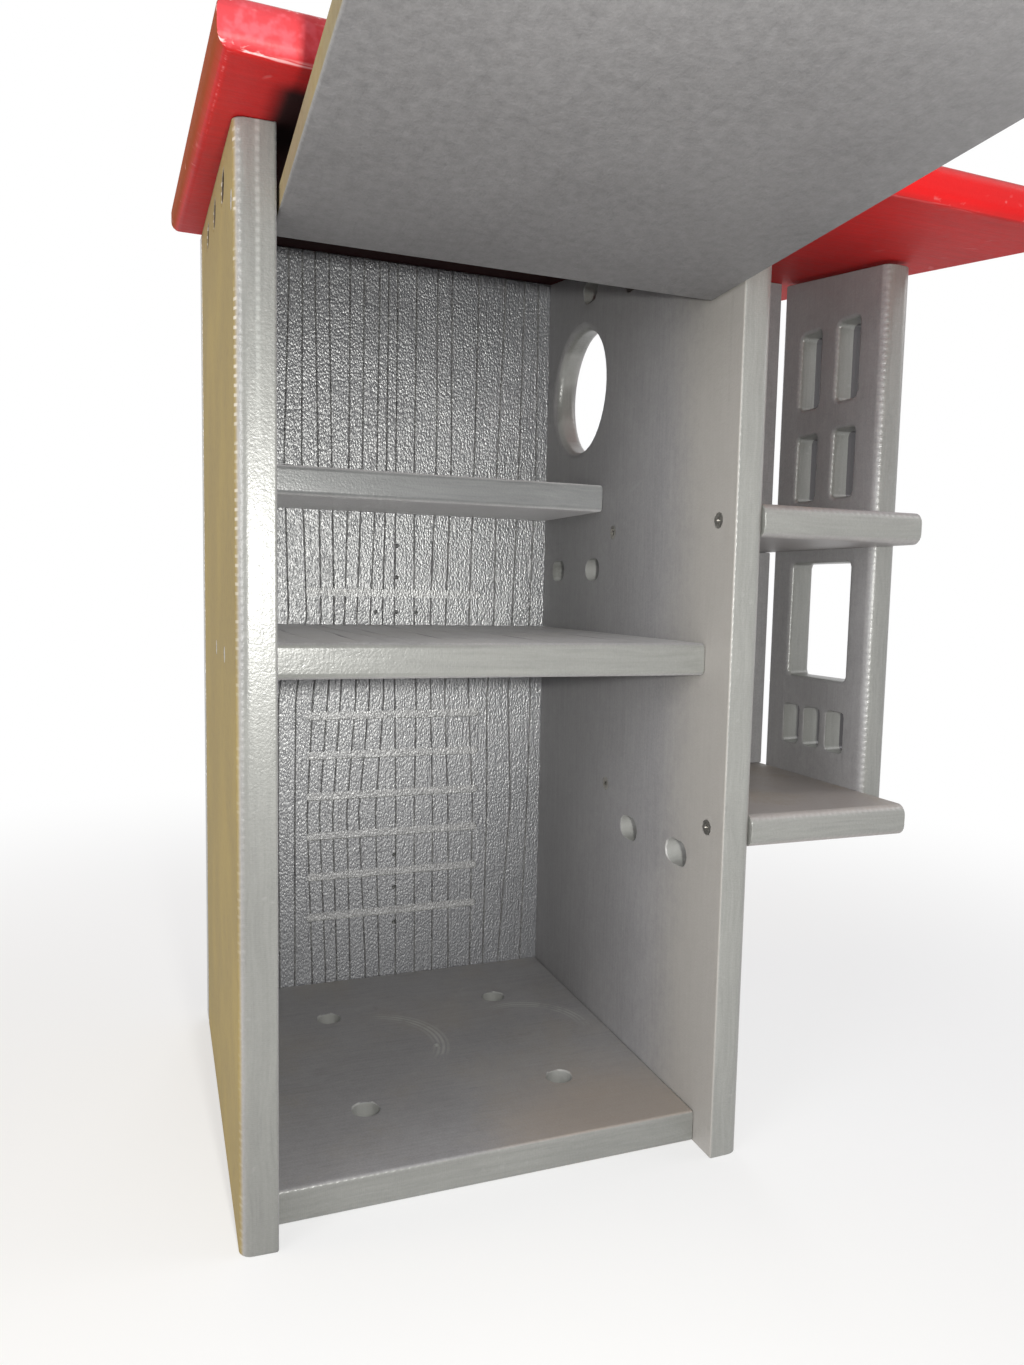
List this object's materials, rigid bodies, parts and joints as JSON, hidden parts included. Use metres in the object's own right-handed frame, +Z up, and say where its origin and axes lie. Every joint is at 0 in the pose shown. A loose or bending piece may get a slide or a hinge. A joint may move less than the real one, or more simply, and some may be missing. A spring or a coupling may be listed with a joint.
{
  "type": "squirrel house",
  "caption": "Tall board house with a lift-up front door open, inner shelves, a sloped roof and a side porch with window cut-outs.",
  "frame": {"origin": "on the ground, midway between the outer faces of the side walls and midway between their front and rear edges", "axes": "+Z up, +Y towards the back wall, +X towards the porch; the open front faces -Y"},
  "size_m": [0.47, 0.796, 0.5988],
  "materials": {
    "wall_boards": "weathered grey solid plastic board",
    "back_board": "grey board with embossed wood grain",
    "level_boards": "grey board, machined round edges",
    "porch_boards": "grey board with routed cut-outs",
    "door_board": "thin grey board",
    "roof_board": "red solid plastic board",
    "screw_steel": "countersunk steel screws"
  },
  "bodies": {
    "house": {"back_screw_floor_left": "screw_steel", "back_screw_floor_right": "screw_steel", "back_screw_lower_shelf_left": "screw_steel", "back_screw_lower_shelf_right": "screw_steel", "back_screw_upper_shelf_left": "screw_steel", "back_screw_upper_shelf_right": "screw_steel", "back_screw_wall_high_left": "screw_steel", "back_screw_wall_high_right": "screw_steel", "back_screw_wall_low_left": "screw_steel", "back_screw_wall_low_right": "screw_steel", "back_wall": "back_board", "floor_board": "level_boards", "left_side_wall": "wall_boards", "lower_shelf": "level_boards", "lower_shelf_screw_left_front": "screw_steel", "lower_shelf_screw_left_rear": "screw_steel", "lower_shelf_screw_right_front": "screw_steel", "lower_shelf_screw_right_rear": "screw_steel", "panel_screw_floor_front": "screw_steel", "panel_screw_floor_rear": "screw_steel", "panel_screw_shelf_front": "screw_steel", "panel_screw_shelf_rear": "screw_steel", "porch_back_lower": "porch_boards", "porch_back_screw_inner": "screw_steel", "porch_back_screw_outer": "screw_steel", "porch_back_upper": "porch_boards", "porch_floor": "level_boards", "porch_floor_screw_front": "screw_steel", "porch_floor_screw_rear": "screw_steel", "porch_panel": "porch_boards", "porch_shelf": "level_boards", "porch_shelf_screw_front": "screw_steel", "porch_shelf_screw_rear": "screw_steel", "right_side_wall": "wall_boards", "roof_board": "roof_board", "roof_screw_left_front": "screw_steel", "roof_screw_left_rear": "screw_steel", "roof_screw_porch_inner": "screw_steel", "roof_screw_porch_outer": "screw_steel", "roof_screw_right_front": "screw_steel", "roof_screw_right_rear": "screw_steel", "upper_shelf": "level_boards"},
    "door": {"front_door": "door_board", "door_pivot_screw_left": "screw_steel", "door_pivot_screw_right": "screw_steel"}
  },
  "joints": [
    {"name": "door_hinge", "type": "hinge", "parent": "house", "child": "door", "pos_m": [0, -0.12985, 0.506], "axis": [1, 0, 0], "range_deg": [-4.5, 92.3]}
  ]
}
